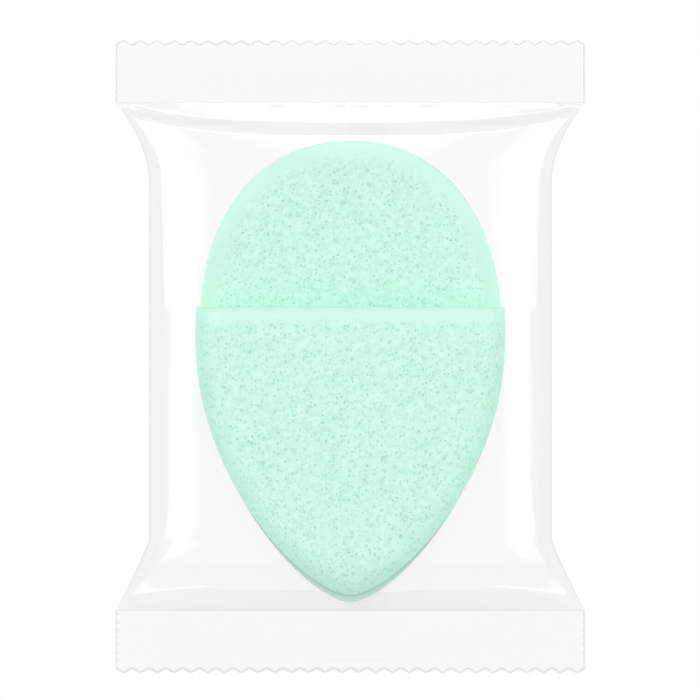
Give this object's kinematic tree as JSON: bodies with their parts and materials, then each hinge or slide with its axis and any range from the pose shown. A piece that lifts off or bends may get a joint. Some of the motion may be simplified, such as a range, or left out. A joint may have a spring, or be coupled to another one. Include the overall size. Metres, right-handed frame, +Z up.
{
  "type": "wrapped makeup remover sponge",
  "caption": "Teardrop makeup remover sponge of soft foam with a finger pocket, sealed in a clear flow-wrap packet with crimped, saw-toothed end seals.",
  "frame": {"origin": "on the surface the packet lies on, under the middle of its bounding box", "axes": "+Z up out of the packet's front, +Y along the packet to the sponge's round end, +X across it"},
  "size_m": [0.122, 0.1646, 0.034],
  "materials": {
    "foam": "soft open-cell foam, matte mint green, skin smooth at the pressed rim",
    "hot_melt": "milky hot-melt bead",
    "film": "clear glossy packaging film",
    "crimped_film": "two plies of clear film, heat sealed and crimped"
  },
  "bodies": {
    "packet": {"wrap_film": "film", "fin_seal": "crimped_film", "top_end_seal": "crimped_film", "bottom_end_seal": "crimped_film"},
    "sponge": {"back_pad": "foam", "edge_bond": "hot_melt"},
    "pocket": {"pocket_panel": "foam"}
  },
  "joints": [
    {"name": "sponge_shift", "type": "slide", "parent": "packet", "child": "sponge", "axis": [1, 0, 0], "range_m": [-0.005, 0.005]},
    {"name": "pocket_open", "type": "hinge", "parent": "sponge", "child": "pocket", "pos_m": [0, -0.0618, 0.00905], "axis": [1, 0, 0], "range_deg": [0, 5], "stiffness_Nm_per_rad": 0.2}
  ]
}
